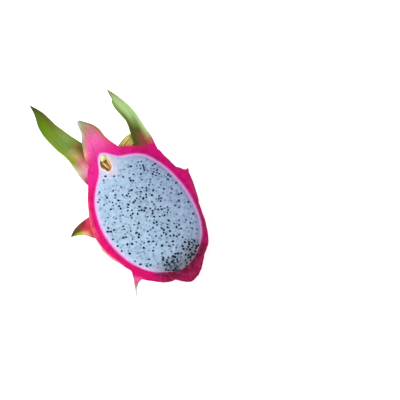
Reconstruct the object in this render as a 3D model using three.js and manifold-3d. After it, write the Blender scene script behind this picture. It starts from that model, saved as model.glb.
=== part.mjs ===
// A white-fleshed dragon fruit cut in half lengthwise, lying on its back with the cut face up.
// Millimetres. +Z is up and +Y points from the stalk end to the flower end. The origin is the middle of the small
// flat spot that the fruit rests on.
import * as THREE from "three";
import { mergeVertices } from "three/addons/utils/BufferGeometryUtils.js";
import Module from "manifold-3d";

const wasm = await Module();
wasm.setup();

// Heights of the half fruit.
const CUT_HEIGHT = 46; // flat part of the knife cut, above the surface
const WIDEST_HEIGHT = 51; // the whole fruit was widest here, a little above the cut
const SKIN_DEPTH = 52.6; // from the widest height down to where the skin's curve would close, just under the surface
const FLESH_DEPTH = 45; // from the widest height down to where the curve of the hollow in the rind would close
const CUT_ROOM = 8; // how far bodies run on above the cut before the knife takes them off

// The knife dips at the stalk end: the cut falls away from here on.
const DIP_START = -22;
const DIP_END = -64;
const DIP_DROP = 5;

const FIT_GAP = 0.3; // between pieces that touch
const FLESH_DOME = 1.3; // the cut flesh swells by this much in the middle

// Outlines in the cut face: the distance from the middle of the face, every 15 degrees, anticlockwise from +X.
const SKIN_RADII = [
  41.4, 43.2, 46.0, 50.6, 54.9, 58.6, 63.0, 60.0, 50.7, 45.8, 43.4, 42.9,
  42.5, 42.6, 43.2, 46.3, 50.8, 55.0, 60.3, 59.6, 53.2, 46.6, 42.4, 41.0,
];
const FLESH_RADII = [
  36.0, 36.7, 39.2, 43.2, 48.4, 50.6, 50.4, 48.0, 43.6, 40.2, 37.3, 35.8,
  35.4, 35.9, 37.8, 41.0, 45.9, 49.2, 51.0, 50.1, 47.2, 43.0, 39.1, 36.8,
];
const NECK_ANGLE = 93.5; // the flesh runs out in a narrow neck towards the flower end
const NECK_REACH = 11.6;
const NECK_SPREAD = 5.6; // degrees

const AROUND = 70; // facets round the fruit
const CROWDING = 0.36; // how much closer together they lie at the neck
const SKIN_STEPS = 7;
const FLESH_STEPS = 6;

const degrees = THREE.MathUtils.degToRad;
const point = (x, y, z) => new THREE.Vector3(x, y, z);

// ---------------------------------------------------------------- solids and booleans

// A closed skin over a row of rings with the same number of points; each end is closed by a fan to its middle.
function loft(rings) {
  const positions = rings.flat().flatMap((p) => [p.x, p.y, p.z]);
  const indices = [];
  const sides = rings[0].length;
  for (let ring = 0; ring < rings.length - 1; ring++) {
    for (let side = 0; side < sides; side++) {
      const a = ring * sides + side;
      const b = ring * sides + ((side + 1) % sides);
      indices.push(a, b, b + sides, a, b + sides, a + sides);
    }
  }
  for (const [ring, turned] of [[0, true], [rings.length - 1, false]]) {
    const middle = rings[ring].reduce((sum, p) => sum.add(p), point(0, 0, 0)).divideScalar(sides);
    const hub = positions.length / 3;
    positions.push(middle.x, middle.y, middle.z);
    for (let side = 0; side < sides; side++) {
      const a = ring * sides + side;
      const b = ring * sides + ((side + 1) % sides);
      indices.push(...(turned ? [b, a, hub] : [a, b, hub]));
    }
  }
  const geometry = new THREE.BufferGeometry();
  geometry.setAttribute("position", new THREE.Float32BufferAttribute(positions, 3));
  geometry.setIndex(indices);
  return geometry;
}

// A geometry as a solid that can be joined and cut, whichever way its faces were wound.
function solid(geometry) {
  const bare = geometry.clone();
  bare.deleteAttribute("normal");
  bare.deleteAttribute("uv");
  const merged = mergeVertices(bare, 1e-4);
  const corners = new Uint32Array(merged.index.array);
  const build = () => new wasm.Manifold(
    new wasm.Mesh({ numProp: 3, vertProperties: merged.attributes.position.array, triVerts: corners }));
  const made = build();
  if (made.volume() > 0) return made;
  for (let i = 0; i < corners.length; i += 3) {
    [corners[i + 1], corners[i + 2]] = [corners[i + 2], corners[i + 1]];
  }
  return build();
}

function geometryOf(body) {
  const { numVert, numProp, vertProperties, triVerts } = body.getMesh();
  const positions = new Float32Array(numVert * 3);
  for (let i = 0; i < numVert; i++) positions.set(vertProperties.subarray(i * numProp, i * numProp + 3), i * 3);
  const geometry = new THREE.BufferGeometry();
  geometry.setAttribute("position", new THREE.BufferAttribute(positions, 3));
  geometry.setIndex(new THREE.BufferAttribute(new Uint32Array(triVerts), 1));
  geometry.computeVertexNormals();
  return geometry;
}

function namedMesh(name, body, material) {
  const mesh = new THREE.Mesh(geometryOf(body), material);
  mesh.name = name;
  return mesh;
}

// ---------------------------------------------------------------- the fruit's body

// A smooth closed row of radii read at any angle in degrees.
function radiusFrom(radii, angle) {
  const step = 360 / radii.length;
  const place = (((angle % 360) + 360) % 360) / step;
  const i = Math.floor(place);
  const t = place - i;
  const at = (k) => radii[(i + k + radii.length) % radii.length];
  const [a, b, c, d] = [at(-1), at(0), at(1), at(2)];
  return b + 0.5 * t * (c - a + t * (2 * a - 5 * b + 4 * c - d + t * (3 * (b - c) + d - a)));
}

function fleshRadius(angle) {
  const off = ((angle - NECK_ANGLE + 540) % 360) - 180;
  return radiusFrom(FLESH_RADII, angle) + NECK_REACH * Math.exp(-0.5 * (off / NECK_SPREAD) ** 2);
}

// Height of the knife cut at a place along the fruit.
function cutHeight(y) {
  const t = THREE.MathUtils.clamp((DIP_START - y) / (DIP_START - DIP_END), 0, 1);
  return CUT_HEIGHT - DIP_DROP * t * t;
}

// Share of the widest outline that a body has at a height, for a curve that closes at depth below the widest height.
const spread = (z, depth) => Math.sqrt(Math.max(0, 1 - ((WIDEST_HEIGHT - z) / depth) ** 2));

// A level outline round the fruit; share is its size next to the outline in the cut face.
function ring(radiusOf, z, share, inset = 0) {
  return Array.from({ length: AROUND }, (_, i) => {
    const even = (360 * i) / AROUND;
    const angle = even - THREE.MathUtils.radToDeg(CROWDING) * Math.sin(degrees(even - NECK_ANGLE));
    const r = (radiusOf(angle) - inset) * share;
    return point(r * Math.cos(degrees(angle)), r * Math.sin(degrees(angle)), z);
  });
}

// The rounded underside of a body, in rings from its lowest flat up to the cut.
function bowl(radiusOf, depth, lowest, steps, inset = 0) {
  const start = Math.asin((WIDEST_HEIGHT - lowest) / depth);
  const end = Math.asin((WIDEST_HEIGHT - CUT_HEIGHT) / depth);
  const rings = [];
  for (let i = 0; i <= steps; i++) {
    const turn = start + ((end - start) * i) / steps;
    const share = Math.cos(turn) / Math.cos(end);
    rings.push(ring(radiusOf, WIDEST_HEIGHT - (depth - inset) * Math.sin(turn), share, inset));
  }
  return rings;
}

const skinRadius = (angle) => radiusFrom(SKIN_RADII, angle);

function skinBody() {
  const top = ring(skinRadius, CUT_HEIGHT + CUT_ROOM, 1);
  return solid(loft([...bowl(skinRadius, SKIN_DEPTH, 0, SKIN_STEPS), top]));
}

// The hollow in the rind, or with an inset the underside of the flesh that fills it.
const HOLLOW_FLOOR = 7; // lowest point of the hollow above the surface
const fleshBowl = (inset) => bowl(fleshRadius, FLESH_DEPTH, HOLLOW_FLOOR, FLESH_STEPS, inset);

function hollow() {
  return solid(loft([...fleshBowl(0), ring(fleshRadius, CUT_HEIGHT + CUT_ROOM, 1)]));
}

// Everything above the cut, wide enough to take off the scales that reach through it.
function knife() {
  const profile = new THREE.Shape();
  const [near, far, top] = [-100, 170, CUT_HEIGHT + 40];
  profile.moveTo(near, top);
  profile.lineTo(near, cutHeight(near));
  for (let i = 8; i >= 0; i--) {
    const y = DIP_START + ((DIP_END - DIP_START) * i) / 8;
    profile.lineTo(y, cutHeight(y));
  }
  profile.lineTo(far, CUT_HEIGHT);
  profile.lineTo(far, top);
  profile.closePath();
  const slab = new THREE.ExtrudeGeometry(profile, { depth: 240, bevelEnabled: false });
  slab.translate(0, 0, -120);
  // the profile's x runs along the fruit and its y upwards
  slab.applyMatrix4(new THREE.Matrix4().makeBasis(point(0, 1, 0), point(0, 0, 1), point(1, 0, 0)));
  return solid(slab);
}

// ---------------------------------------------------------------- scales

// Where the skin is at an angle round the fruit and a height, and which way it faces and runs there.
function skinAt(angle, z) {
  const at = (a, h) => {
    const r = (radiusFrom(SKIN_RADII, a) * spread(h, SKIN_DEPTH)) / spread(CUT_HEIGHT, SKIN_DEPTH);
    return point(r * Math.cos(degrees(a)), r * Math.sin(degrees(a)), h);
  };
  const place = at(angle, z);
  const round = at(angle + 1, z).sub(at(angle - 1, z)).normalize();
  const upward = at(angle, z + 0.5).sub(at(angle, z - 0.5)).normalize();
  const outward = round.clone().cross(upward).normalize();
  const toFlower = point(0, 1, 0).projectOnPlane(outward).normalize();
  return { place, outward, toFlower };
}

// Reads a row of numbers spread evenly from root to tip.
function along(row, s) {
  const place = s * (row.length - 1);
  const i = Math.min(Math.floor(place), row.length - 2);
  return THREE.MathUtils.lerp(row[i], row[i + 1], place - i);
}

const ACROSS = [-1, -0.55, 0, 0.55, 1];
const MARGIN = 0.7; // a scale is never thinner than this

// One scale: a fleshy tapering blade along a spine, hollowed on its inner face like a gutter.
// inner is the direction its inner face looks; widths and thicknesses run from root to tip.
function scale({ spine, inner, widths, thicknesses, gutter = 0.25, steps = 8 }) {
  const curve = new THREE.CatmullRomCurve3(spine.map((p) => point(...p)));
  const look = point(...inner).normalize();
  const rings = [];
  for (let i = 0; i <= steps; i++) {
    const s = i / steps;
    const middle = curve.getPoint(s);
    const run = curve.getTangent(s);
    const face = look.clone().projectOnPlane(run).normalize();
    const sideways = run.clone().cross(face).normalize();
    const half = Math.max(along(widths, s), MARGIN) / 2;
    const place = (u, side) => {
      const thick = MARGIN + (Math.max(along(thicknesses, s), MARGIN) - MARGIN) * (1 - u * u);
      const lift = gutter * half * (u * u - 0.4) + (side * thick) / 2;
      return middle.clone().addScaledVector(sideways, u * half).addScaledVector(face, lift);
    };
    rings.push([...ACROSS.map((u) => place(u, 1)), ...[...ACROSS].reverse().map((u) => place(u, -1))]);
  }
  return solid(loft(rings));
}

// The scales round the cut face and the crown at the flower end.
const CUT_SCALES = [
  // long green leaf on the left of the crown
  { spine: [[-14, 42, 32], [-17.4, 56, 34], [-17.4, 72, 35], [-21.8, 90, 37], [-26, 109, 39], [-28.2, 131.5, 42]],
    inner: [0.55, 0, 0.85], widths: [22, 22.5, 21.5, 20, 15, 0.8], thicknesses: [6, 6, 4.2, 3.2, 2.2, 0.8],
    gutter: 0.4, steps: 10 },
  // broad scale that the cut goes through lengthwise
  { spine: [[-2, 52, 46], [-2.3, 62, 46], [-0.9, 72, 46], [-1, 82, 46], [-4.2, 95.3, 46]],
    inner: [0, 0, 1], widths: [30, 26.5, 20, 13, 1.6], thicknesses: [14, 13, 9, 6, 1.6], gutter: 0 },
  // long green leaf on the right of the crown
  { spine: [[28, 38, 39], [31.8, 50, 40], [34, 64, 40.5], [35.3, 78, 41], [33.6, 93, 41.5], [31.5, 109, 42]],
    inner: [-0.6, 0.1, 0.8], widths: [22, 20, 14.5, 10.5, 8, 0.8], thicknesses: [6, 5, 4, 3.2, 2.2, 0.8],
    gutter: 0.55, steps: 10 },
  // short hooked scale on the left
  { spine: [[-34, 13.5, 33], [-43, 16, 33.5], [-49.5, 19.2, 34.5], [-57, 20, 35]],
    inner: [0.1, 0.5, 0.85], widths: [25, 18, 8, 0.8], thicknesses: [7, 5, 3, 0.8], gutter: 0.35, steps: 6 },
  // thin spur at the lower left, cut lengthwise
  { spine: [[-27.5, -33.5, 45.6], [-32, -38.6, 45.2], [-35.8, -42.6, 44.9], [-39.4, -48, 44.4]],
    inner: [0, 0, 1], widths: [13, 7.8, 2.4, 0.8], thicknesses: [8, 6, 3, 1.6], gutter: 0, steps: 7 },
  // flat scale on the right, cut lengthwise, its tip standing off the skin
  { spine: [[36.6, -14, 46], [39.2, -4, 46], [41.2, 4, 46], [43.6, 8.8, 46], [46.8, 12.2, 46]],
    inner: [0, 0, 1], widths: [5, 6.6, 7, 4.6, 0.8], thicknesses: [12, 10, 8, 5, 1.6], gutter: 0, steps: 7 },
];

// The scales on the back: angle round the fruit, height on the skin, length, width and how far the tip lifts.
const BACK_SCALES = [
  { angle: 216, z: 33, length: 27, width: 21, lift: 1.6 },
  { angle: 172, z: 17, length: 24, width: 24, lift: 2.6 },
  { angle: 134, z: 17, length: 26, width: 23, lift: 3.4 },
  { angle: 204, z: 11, length: 21, width: 22, lift: 1.4 },
  { angle: 246, z: 30, length: 20, width: 22, lift: 0.8 },
  { angle: 288, z: 31, length: 18, width: 21, lift: 0.8 },
  { angle: 320, z: 29, length: 24, width: 23, lift: 1.2 },
  { angle: 244, z: 10, length: 21, width: 21, lift: 1.2 },
  { angle: 270, z: 7, length: 19, width: 20, lift: 0.9 },
  { angle: 304, z: 11, length: 21, width: 22, lift: 1.6 },
  { angle: 345, z: 15, length: 24, width: 23, lift: 3.2 },
  { angle: 10, z: 30, length: 26, width: 23, lift: 4.2 },
  { angle: 44, z: 17, length: 28, width: 22, lift: 5 },
  { angle: 98, z: 26, length: 38, width: 22, lift: 6 },
  { angle: 84, z: 12, length: 24, width: 21, lift: 3.6 },
  { angle: 146, z: 7, length: 20, width: 20, lift: 1.6 },
  { angle: 40, z: 7, length: 20, width: 20, lift: 1.6 },
];

const SCALE_SINK = 3.4; // how deep a scale's root lies in the rind
const SCALE_CLEARANCE = 4; // spines on the back stay at least this far above the surface

function backScale({ angle, z, length, width, lift }) {
  const { place, outward, toFlower } = skinAt(angle, z);
  const spine = [-0.35, 0.1, 0.45, 0.75, 1].map((s) => {
    const off = s <= 0 ? -SCALE_SINK : lift * s ** 1.6 - SCALE_SINK * (1 - s) ** 2;
    const p = place.clone().addScaledVector(toFlower, s * length);
    // follow the curve of the skin, then stand off it
    const beneath = skinAt(THREE.MathUtils.radToDeg(Math.atan2(p.y, p.x)), p.z);
    const follow = p.lerp(beneath.place, 0.75 - 0.35 * Math.max(s, 0));
    follow.addScaledVector(outward, off);
    follow.z = Math.max(follow.z, SCALE_CLEARANCE);
    return follow.toArray();
  });
  return scale({
    spine, inner: outward.clone().negate().toArray(),
    widths: [width * 0.8, width, width * 0.82, width * 0.45, 0.8], thicknesses: [4, 4.2, 3.2, 2.2, 0.8],
    gutter: 0.3, steps: 6,
  });
}

// ---------------------------------------------------------------- stalk and flower ends

// The cut stump of the stalk, a short ribbed cone sunk in the rind.
const STALK = { angle: 272, z: 24, radius: 5.2, length: 3.2 };

function stalkStump() {
  const { place, outward } = skinAt(STALK.angle, STALK.z);
  const cone = new THREE.CylinderGeometry(STALK.radius * 0.8, STALK.radius * 1.25, STALK.length + 5, 10);
  cone.translate(0, (STALK.length - 5) / 2, 0);
  cone.applyQuaternion(new THREE.Quaternion().setFromUnitVectors(point(0, 1, 0), outward));
  cone.translate(place.x, place.y, place.z);
  return solid(cone);
}

// What is left of the flower: a papery tuft in a socket behind the rim of the cut face.
const FLOWER = { angle: 75, z: 32, stub: 4.6, socketDepth: 2.6 };
const FLOWER_LOBES = [
  { turn: -12, length: 12, lean: 3 },
  { turn: -32, length: 14.5, lean: 3.6 },
  { turn: -52, length: 16, lean: 3 },
  { turn: -72, length: 15, lean: 2 },
];

function flowerFrame() {
  const { place, outward } = skinAt(FLOWER.angle, FLOWER.z);
  const axis = outward.clone().lerp(point(-0.1, 1, 0.15), 0.5).normalize();
  return { place, axis };
}

function flowerStub(grow) {
  const { place, axis } = flowerFrame();
  const deep = FLOWER.socketDepth + grow;
  const stub = new THREE.CylinderGeometry(FLOWER.stub + grow, FLOWER.stub + grow, deep + 3.4, 12);
  stub.translate(0, (3.4 - deep) / 2, 0);
  stub.applyQuaternion(new THREE.Quaternion().setFromUnitVectors(point(0, 1, 0), axis));
  stub.translate(place.x, place.y, place.z);
  return solid(stub);
}

function witheredFlower() {
  const { place, axis } = flowerFrame();
  const up = point(0, 0, 1).projectOnPlane(axis).normalize();
  const sideways = axis.clone().cross(up);
  let made = flowerStub(0);
  for (const { turn, length, lean } of FLOWER_LOBES) {
    const out = axis.clone().multiplyScalar(Math.cos(degrees(turn)))
      .addScaledVector(sideways, -Math.sin(degrees(turn)));
    const spine = [0.16, 0.5, 0.8, 1].map((s) =>
      place.clone().addScaledVector(axis, 1.4).addScaledVector(out, s * length)
        .addScaledVector(up, lean * s * s - 0.5).toArray());
    made = made.add(scale({
      spine, inner: up.toArray(), widths: [6.5, 9, 7.5, 2.5], thicknesses: [2.2, 1.4, 1, 0.7],
      gutter: 0.5, steps: 5,
    }));
  }
  return made;
}

// ---------------------------------------------------------------- flesh, core and pips

const CORE = { x: -4.7, y: 52.2, halfLength: 7.6, halfWidth: 3.7, depth: 3.4, tilt: 8 };
const CORE_SIDES = 16;

// A boat shape with its rim in the cut face: the pit, or with an inset the core that lies in it.
function boat(inset, top) {
  const turn = degrees(CORE.tilt);
  const rings = [[1, top], [1, CUT_HEIGHT - 0.9], [0.72, CUT_HEIGHT - 0.65 * CORE.depth], [0.3, CUT_HEIGHT - CORE.depth]];
  return solid(loft(rings.map(([share, z]) => Array.from({ length: CORE_SIDES }, (_, i) => {
    const a = (2 * Math.PI * i) / CORE_SIDES;
    const x = (CORE.halfWidth - inset) * share * Math.cos(a) * (1 - 0.18 * Math.sin(a));
    const y = (CORE.halfLength - inset) * share * Math.sin(a);
    return point(CORE.x + x * Math.cos(turn) - y * Math.sin(turn), CORE.y + x * Math.sin(turn) + y * Math.cos(turn),
      z + (top > z ? inset : 0));
  }))));
}

const CORE_RIBS = [-1.7, 0.1, 1.8];

// The dry, ribbed strand that joins the flesh to the flower.
function core() {
  let made = boat(FIT_GAP, CUT_HEIGHT - 0.5);
  for (const x of CORE_RIBS) {
    const rib = new THREE.CylinderGeometry(0.75, 0.5, CORE.halfLength * 1.25, 6);
    rib.rotateZ(degrees(CORE.tilt + x * 3));
    rib.translate(CORE.x + x, CORE.y - 0.3 * Math.abs(x), CUT_HEIGHT - 0.55);
    made = made.add(solid(rib));
  }
  return made;
}

// Random draws that are the same on every run.
function drawsFrom(seed) {
  let state = seed;
  return () => {
    state = (state * 1664525 + 1013904223) % 4294967296;
    return state / 4294967296;
  };
}

const PIP_COUNT = 240;
const PIP_LENGTH = 1.8;
const PIP_WIDTH = 1.25;
const PIP_HEIGHT = 0.45; // how far a pip stands out of the flesh
const PIP_SPACING = 1.6;
const PIP_BORDER = 2.6; // no pips this close to the rind
const PIP_FREE_NECK = 43; // nor this far towards the flower end

// Where pips lie thick: place, reach and weight of each cluster.
const PIP_CLUSTERS = [
  { x: 0, y: 8, reach: 15, weight: 0.5 },
  { x: 4, y: -22, reach: 15, weight: 0.5 },
  { x: 9, y: -43, reach: 11, weight: 1.1 },
  { x: 24, y: 24, reach: 12, weight: 0.4 },
];
const PIP_BASE = 0.32;
const PIP_CLUMP = 0.75; // turns of a wave, in radians per mm, that gathers pips in small clumps

function fleshTop(x, y) {
  const angle = THREE.MathUtils.radToDeg(Math.atan2(y, x));
  const share = Math.hypot(x, y) / fleshRadius(angle);
  return cutHeight(y) + FLESH_DOME * (1 - share * share);
}

function pipPlaces(count) {
  const draw = drawsFrom(20);
  const places = [];
  while (places.length < count) {
    const x = (draw() - 0.5) * 80;
    const y = (draw() - 0.5) * 110;
    const chance = draw();
    const turn = draw() * Math.PI;
    const room = fleshRadius(THREE.MathUtils.radToDeg(Math.atan2(y, x))) - Math.hypot(x, y);
    const thick = PIP_CLUSTERS.reduce(
      (sum, c) => sum + c.weight * Math.exp(-((x - c.x) ** 2 + (y - c.y) ** 2) / c.reach ** 2), PIP_BASE);
    const clump = 1 + 0.7 * Math.sin(PIP_CLUMP * x + 0.2 * y) * Math.sin(PIP_CLUMP * y - 0.15 * x);
    const apart = places.every((p) => Math.hypot(p.x - x, p.y - y) > PIP_SPACING);
    if (room > PIP_BORDER && y < PIP_FREE_NECK && chance < thick * clump && apart) places.push({ x, y, turn });
  }
  return places;
}

function flesh() {
  const rim = ring(fleshRadius, CUT_HEIGHT, 1, FIT_GAP);
  for (const p of rim) {
    const height = cutHeight(p.y);
    p.multiplyScalar(spread(height, FLESH_DEPTH - FIT_GAP) / spread(CUT_HEIGHT, FLESH_DEPTH - FIT_GAP));
    p.z = height;
  }
  const top = [0.9, 0.65, 0.35, 0.08].map((share) => rim.map((p) => {
    const [x, y] = [p.x * share, p.y * share];
    return point(x, y, cutHeight(y) + FLESH_DOME * (1 - share * share));
  }));
  const pips = pipPlaces(PIP_COUNT).map(({ x, y, turn }) => {
    const pip = new THREE.OctahedronGeometry(1);
    pip.scale(PIP_LENGTH / 2, PIP_WIDTH / 2, PIP_HEIGHT * 2);
    pip.rotateZ(turn);
    pip.translate(x, y, fleshTop(x, y) - PIP_HEIGHT);
    return solid(pip);
  });
  const body = solid(loft([...fleshBowl(FIT_GAP).slice(0, -1), rim, ...top]));
  return wasm.Manifold.union([body, ...pips]).subtract(boat(0, CUT_HEIGHT + CUT_ROOM));
}

function rind() {
  const grown = wasm.Manifold.union([
    skinBody(), stalkStump(), ...CUT_SCALES.map(scale), ...BACK_SCALES.map(backScale),
  ]);
  return grown.subtract(knife()).subtract(hollow()).subtract(flowerStub(FIT_GAP));
}

// ---------------------------------------------------------------- the part

const rindSkin = new THREE.MeshStandardMaterial({ color: "#c8205f", roughness: 0.45, metalness: 0 });
const whiteFlesh = new THREE.MeshStandardMaterial({ color: "#cfdcec", roughness: 0.3, metalness: 0 });
const dryCore = new THREE.MeshStandardMaterial({ color: "#b98a55", roughness: 0.8, metalness: 0 });
const dryFlower = new THREE.MeshStandardMaterial({ color: "#c8bb60", roughness: 0.75, metalness: 0 });

const dragonFruitHalf = new THREE.Group();
dragonFruitHalf.add(
  namedMesh("rind", rind(), rindSkin),
  namedMesh("flesh", flesh(), whiteFlesh),
  namedMesh("core", core(), dryCore),
  namedMesh("withered_flower", witheredFlower(), dryFlower),
);

export default dragonFruitHalf;
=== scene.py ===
import math
import bmesh
import bpy
import numpy as np
from functools import partial
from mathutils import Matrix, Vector, noise
from mathutils.kdtree import KDTree


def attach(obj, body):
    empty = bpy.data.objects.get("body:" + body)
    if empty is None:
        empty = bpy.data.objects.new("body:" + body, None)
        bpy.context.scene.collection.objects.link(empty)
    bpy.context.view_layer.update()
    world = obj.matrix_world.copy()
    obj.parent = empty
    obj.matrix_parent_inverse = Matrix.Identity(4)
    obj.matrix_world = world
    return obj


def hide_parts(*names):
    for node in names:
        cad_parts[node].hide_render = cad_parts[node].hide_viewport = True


# Half a white-fleshed dragon fruit, cut lengthwise and lying on its back.
# Lengths are in millimetres up to the point where a mesh is made. Only the scale of subsurface light is in
# metres, as its socket takes it.
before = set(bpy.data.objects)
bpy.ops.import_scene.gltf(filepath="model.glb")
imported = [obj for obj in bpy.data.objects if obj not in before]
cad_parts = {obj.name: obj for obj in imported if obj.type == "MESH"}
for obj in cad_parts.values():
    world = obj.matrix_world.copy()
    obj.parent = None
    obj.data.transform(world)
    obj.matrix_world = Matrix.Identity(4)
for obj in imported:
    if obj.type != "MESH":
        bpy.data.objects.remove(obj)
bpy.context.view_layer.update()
scene = bpy.context.scene
metres = 0.001
rng = np.random.default_rng(11)

camera = {
    "azimuth": -34.4,    # degrees, from the front towards the left
    "elevation": 72.0,
    "distance": 460.0,
    "aim": (39.97, -14.7, 46.0),
    "lens": 53.8,
    "sensor": 36.0,
}


def aimedObject(data, place, back):
    # a camera or a light, looking the other way from back
    obj = bpy.data.objects.new(data.name, data)
    obj.location = place
    obj.rotation_euler = back.to_track_quat("Z", "Y").to_euler()
    scene.collection.objects.link(obj)
    return obj


def setCamera():
    data = bpy.data.cameras.new("camera")
    data.lens = camera["lens"]
    data.sensor_width = camera["sensor"]
    a, e = math.radians(camera["azimuth"]), math.radians(camera["elevation"])
    back = Vector((math.sin(a) * math.cos(e), -math.cos(a) * math.cos(e), math.sin(e)))
    scene.camera = aimedObject(data, (Vector(camera["aim"]) + back * camera["distance"]) * metres, back)


setCamera()
print("camera placed")


# small tools

def linear(hexColour):
    channels = [int(hexColour[i:i + 2], 16) / 255 for i in (1, 3, 5)]
    return (*[c / 12.92 if c <= 0.04045 else ((c + 0.055) / 1.055) ** 2.4 for c in channels], 1.0)


def addNode(tree, kind, inputs=(), stops=(), **settings):
    # inputs are values, nodes or sockets in the sockets' order or by their names; settings are the node's own
    node = tree.nodes.new("ShaderNode" + kind)
    for name, value in settings.items():
        setattr(node, name, value)
    while len(stops) > len(node.color_ramp.elements if stops else ()):
        node.color_ramp.elements.new(0.5)
    for i, (place, colour) in enumerate(stops):
        node.color_ramp.elements[i].position = place
        node.color_ramp.elements[i].color = linear(colour)
    sockets = [s for s in node.inputs if s.enabled]
    named = {s.name: s for s in sockets}
    for key, value in inputs.items() if isinstance(inputs, dict) else enumerate(inputs):
        socket = named[key] if isinstance(key, str) else sockets[key]
        if isinstance(value, bpy.types.Node):
            value = next(s for s in value.outputs if s.enabled)
        if isinstance(value, bpy.types.NodeSocket):
            tree.links.new(value, socket)
        else:
            socket.default_value = linear(value) if isinstance(value, str) else value
    return node


def newMaterial(name, *stored):
    # an empty material, what adds its nodes, the place on the surface, and the stored values that it reads
    material = bpy.data.materials.new(name)
    material.use_nodes = True
    tree = material.node_tree
    tree.nodes.clear()
    add = partial(addNode, tree)
    place = add("TexCoord").outputs["Object"]
    values = [add("Attribute", attribute_name=s).outputs["Fac"] for s in stored]
    return material, add, place, *values


def meshObject(name, points, faces):
    mesh = bpy.data.meshes.new(name)
    mesh.from_pydata((np.asarray(points, float) * metres).tolist(), [], faces)
    mesh.shade_smooth()
    obj = bpy.data.objects.new(name, mesh)
    scene.collection.objects.link(obj)
    return obj


def pointsOf(obj):
    points = np.empty(len(obj.data.vertices) * 3)
    obj.data.vertices.foreach_get("co", points)
    return points.reshape(-1, 3) / metres


def storeValues(obj, **named):
    # numbers for every vertex, read in a material by Attribute nodes
    for name, values in named.items():
        stored = obj.data.attributes.new(name, "FLOAT", "POINT")
        stored.data.foreach_set("value", np.asarray(values, np.float32))


def applyModifiers(obj):
    seen = bpy.context.evaluated_depsgraph_get()
    finished = bpy.data.meshes.new_from_object(obj.evaluated_get(seen))
    obj.modifiers.clear()
    obj.data = finished


def combine(obj, other, operation):
    # one solid joined with or cut by another, which is used up; new faces keep the other's material
    modifier = obj.modifiers.new(operation, "BOOLEAN")
    modifier.operation = operation
    modifier.solver = "MANIFOLD"
    modifier.material_mode = "TRANSFER"
    modifier.object = other
    applyModifiers(obj)
    bpy.data.objects.remove(other)


def joinInto(obj, others):
    # several meshes in one object
    joined = bmesh.new()
    for part in [obj, *others]:
        joined.from_mesh(part.data)
    joined.to_mesh(obj.data)
    joined.free()
    for part in others:
        bpy.data.objects.remove(part)


def tubeFaces(rings, around):
    # quads from ring to ring, with a single many-sided face at each end
    faces = []
    for ring in range(rings - 1):
        for side in range(around):
            a, b = ring * around + side, ring * around + (side + 1) % around
            faces.append((a, b, b + around, a + around))
    faces.append(tuple(reversed(range(around))))
    faces.append(tuple((rings - 1) * around + side for side in range(around)))
    return faces


def tube(name, rings):
    # a closed body over rings of points
    return meshObject(name, np.vstack(rings), tubeFaces(len(rings), len(rings[0])))


def ribbedStub(name, place, axes, shape):
    # a short round stub with shallow ribs, standing along the first of its three axes
    axis, aside, across = axes
    points = []
    for height, share in shape["profile"]:
        for i in range(shape["sides"]):
            turn = 2 * math.pi * i / shape["sides"]
            r = shape["radius"] * share * (1 + shape["ribDepth"] * math.cos(shape["ribs"] * turn))
            points.append(place + axis * height + aside * r * math.cos(turn) + across * r * math.sin(turn))
    return meshObject(name, points, tubeFaces(len(shape["profile"]), shape["sides"]))


def between(row, near, t):
    # a smooth curve between the inner two of four neighbours in a row, heading as the outer two ask
    a, b, c, d = (row[i] for i in near)
    t = t.reshape(-1, *[1] * (row.ndim - 1))
    return b + 0.5 * t * (c - a + t * (2 * a - 5 * b + 4 * c - d + t * (3 * (b - c) + d - a)))


def smoothRow(row, places):
    # a row of evenly spread values, or points, read smoothly at places from 0 to 1
    row, last = np.asarray(row, float), len(row) - 1
    place = np.clip(np.asarray(places), 0, 1) * last
    i = np.minimum(place.astype(int), last - 1)
    return between(row, (np.maximum(i - 1, 0), i, i + 1, np.minimum(i + 2, last)), place - i)


def smoothLoop(row, places):
    # the same for a row that closes on itself
    row = np.asarray(row, float)
    place = np.mod(places, 1) * len(row)
    i = place.astype(int)
    return between(row, [(i + k) % len(row) for k in (-1, 0, 1, 2)], place - i)


def curveAt(spine, places):
    # points on a smooth curve, and the way it runs there
    middle = smoothRow(spine, places)
    run = np.gradient(middle, axis=0)
    return middle, run / np.linalg.norm(run, axis=1)[:, None]


def smoothStep(low, high, values):
    t = np.clip((values - low) / (high - low), 0, 1)
    return t * t * (3 - 2 * t)


def noiseAt(points, size, shift=0):
    # soft noise, with swells of this many millimetres
    return np.array([noise.noise(Vector(p) / size + Vector((shift, 0, 0))) for p in points])


def polarOf(points):
    # angles in degrees round the fruit, and distances from its middle
    return np.degrees(np.arctan2(points[:, 1], points[:, 0])), np.hypot(points[:, 0], points[:, 1])


def nearestOf(samples, points):
    # for each point the number of the nearest sample, and how far off it is
    tree = KDTree(len(samples))
    for i, sample in enumerate(samples):
        tree.insert(sample, i)
    tree.balance()
    found = [tree.find(p) for p in points]
    return [f[1] for f in found], np.array([f[2] for f in found])


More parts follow.
